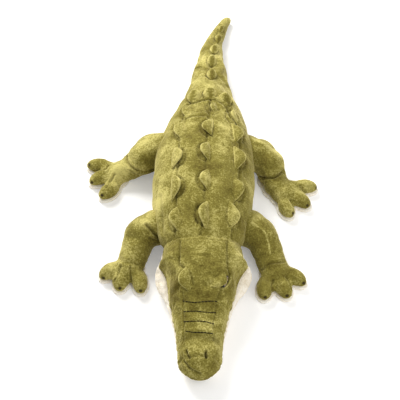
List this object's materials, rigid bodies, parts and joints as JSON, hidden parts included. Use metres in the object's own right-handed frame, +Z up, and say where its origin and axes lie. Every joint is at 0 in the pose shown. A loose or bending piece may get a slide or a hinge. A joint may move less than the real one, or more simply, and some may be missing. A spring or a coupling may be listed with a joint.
{
  "type": "plush crocodile",
  "caption": "Stuffed crocodile toy lying on its belly, with short-pile green covers, a cream underside and jaw, padded back scutes, brows and soft splayed legs that bend.",
  "frame": {"origin": "middle of the toy's outline on the surface that it lies on", "axes": "+Z up from that surface, +Y from the snout to the tail's tip, +X to the animal's left"},
  "size_m": [0.3118, 0.616, 0.0932],
  "materials": {
    "green_plush": "short dense plush pile",
    "cream_plush": "short dense plush pile",
    "stuffing": "loose polyester fibre",
    "eye_plastic": "polished",
    "washer_plastic": "moulded"
  },
  "bodies": {
    "torso": {"torso_stuffing": "stuffing", "torso_back_cover": "green_plush", "belly_panel": "cream_plush", "scute_spine_1": "green_plush", "scute_spine_2": "green_plush", "scute_spine_3": "green_plush", "scute_spine_4": "green_plush", "scute_spine_5": "green_plush", "scute_spine_6": "green_plush", "scute_left_1": "green_plush", "scute_left_2": "green_plush", "scute_left_3": "green_plush", "scute_left_4": "green_plush", "scute_left_5": "green_plush", "scute_left_6": "green_plush", "scute_right_1": "green_plush", "scute_right_2": "green_plush", "scute_right_3": "green_plush", "scute_right_4": "green_plush", "scute_right_5": "green_plush", "scute_right_6": "green_plush"},
    "head": {"head_cover": "green_plush", "lower_jaw_panel": "cream_plush", "head_stuffing": "stuffing", "brow_left": "green_plush", "brow_right": "green_plush", "eye_left": "eye_plastic", "eye_right": "eye_plastic", "eye_washer_left": "washer_plastic", "eye_washer_right": "washer_plastic"},
    "tail_base": {"tail_base_cover": "green_plush", "tail_base_stuffing": "stuffing", "scute_tail_1": "green_plush", "scute_tail_2": "green_plush", "scute_tail_3": "green_plush"},
    "tail_tip": {"tail_tip_cover": "green_plush", "tail_tip_stuffing": "stuffing", "scute_tail_4": "green_plush", "scute_tail_5": "green_plush"},
    "front_leg_left": {"front_leg_left_cover": "green_plush", "front_leg_left_stuffing": "stuffing"},
    "front_foot_left": {"front_foot_left_cover": "green_plush", "front_foot_left_sole": "cream_plush", "front_foot_left_stuffing": "stuffing"},
    "front_leg_right": {"front_leg_right_cover": "green_plush", "front_leg_right_stuffing": "stuffing"},
    "front_foot_right": {"front_foot_right_cover": "green_plush", "front_foot_right_sole": "cream_plush", "front_foot_right_stuffing": "stuffing"},
    "rear_leg_left": {"rear_leg_left_cover": "green_plush", "rear_leg_left_stuffing": "stuffing"},
    "rear_foot_left": {"rear_foot_left_cover": "green_plush", "rear_foot_left_sole": "cream_plush", "rear_foot_left_stuffing": "stuffing"},
    "rear_leg_right": {"rear_leg_right_cover": "green_plush", "rear_leg_right_stuffing": "stuffing"},
    "rear_foot_right": {"rear_foot_right_cover": "green_plush", "rear_foot_right_sole": "cream_plush", "rear_foot_right_stuffing": "stuffing"}
  },
  "joints": [
    {"name": "neck_turn", "type": "hinge", "parent": "torso", "child": "head", "pos_m": [-0.001, -0.13, 0.03], "axis": [0, 0, 1], "range_deg": [-10, 10], "stiffness_Nm_per_rad": 0.5},
    {"name": "tail_base_bend", "type": "hinge", "parent": "torso", "child": "tail_base", "pos_m": [0.0095, 0.137, 0.025], "axis": [0, 0, 1], "range_deg": [-15, 15], "stiffness_Nm_per_rad": 0.15},
    {"name": "tail_tip_bend", "type": "hinge", "parent": "tail_base", "child": "tail_tip", "pos_m": [0.0145, 0.236, 0.013], "axis": [0, 0, 1], "range_deg": [-18, 18], "stiffness_Nm_per_rad": 0.05},
    {"name": "shoulder_left", "type": "hinge", "parent": "torso", "child": "front_leg_left", "pos_m": [0.07682, -0.099, 0.02], "axis": [0, 0, 1], "range_deg": [-4, 24], "stiffness_Nm_per_rad": 0.15},
    {"name": "wrist_left", "type": "hinge", "parent": "front_leg_left", "child": "front_foot_left", "pos_m": [0.08657, -0.12578, 0.015], "axis": [0, 0, 1], "range_deg": [-4, 14], "stiffness_Nm_per_rad": 0.08},
    {"name": "shoulder_right", "type": "hinge", "parent": "torso", "child": "front_leg_right", "pos_m": [-0.0774, -0.099, 0.02], "axis": [0, 0, -1], "range_deg": [-4, 24], "stiffness_Nm_per_rad": 0.15},
    {"name": "wrist_right", "type": "hinge", "parent": "front_leg_right", "child": "front_foot_right", "pos_m": [-0.08899, -0.12504, 0.015], "axis": [0, 0, -1], "range_deg": [-4, 14], "stiffness_Nm_per_rad": 0.08},
    {"name": "hip_left", "type": "hinge", "parent": "torso", "child": "rear_leg_left", "pos_m": [0.07797, 0.03, 0.02], "axis": [0, 0, 1], "range_deg": [-10, 15], "stiffness_Nm_per_rad": 0.15},
    {"name": "knee_left", "type": "hinge", "parent": "rear_leg_left", "child": "rear_foot_left", "pos_m": [0.0956, 0.00573, 0.015], "axis": [0, 0, 1], "range_deg": [-12, 12], "stiffness_Nm_per_rad": 0.08},
    {"name": "hip_right", "type": "hinge", "parent": "torso", "child": "rear_leg_right", "pos_m": [-0.06976, 0.03, 0.02], "axis": [0, 0, -1], "range_deg": [-10, 15], "stiffness_Nm_per_rad": 0.15},
    {"name": "knee_right", "type": "hinge", "parent": "rear_leg_right", "child": "rear_foot_right", "pos_m": [-0.09695, 0.01732, 0.015], "axis": [0, 0, -1], "range_deg": [-12, 12], "stiffness_Nm_per_rad": 0.08}
  ]
}
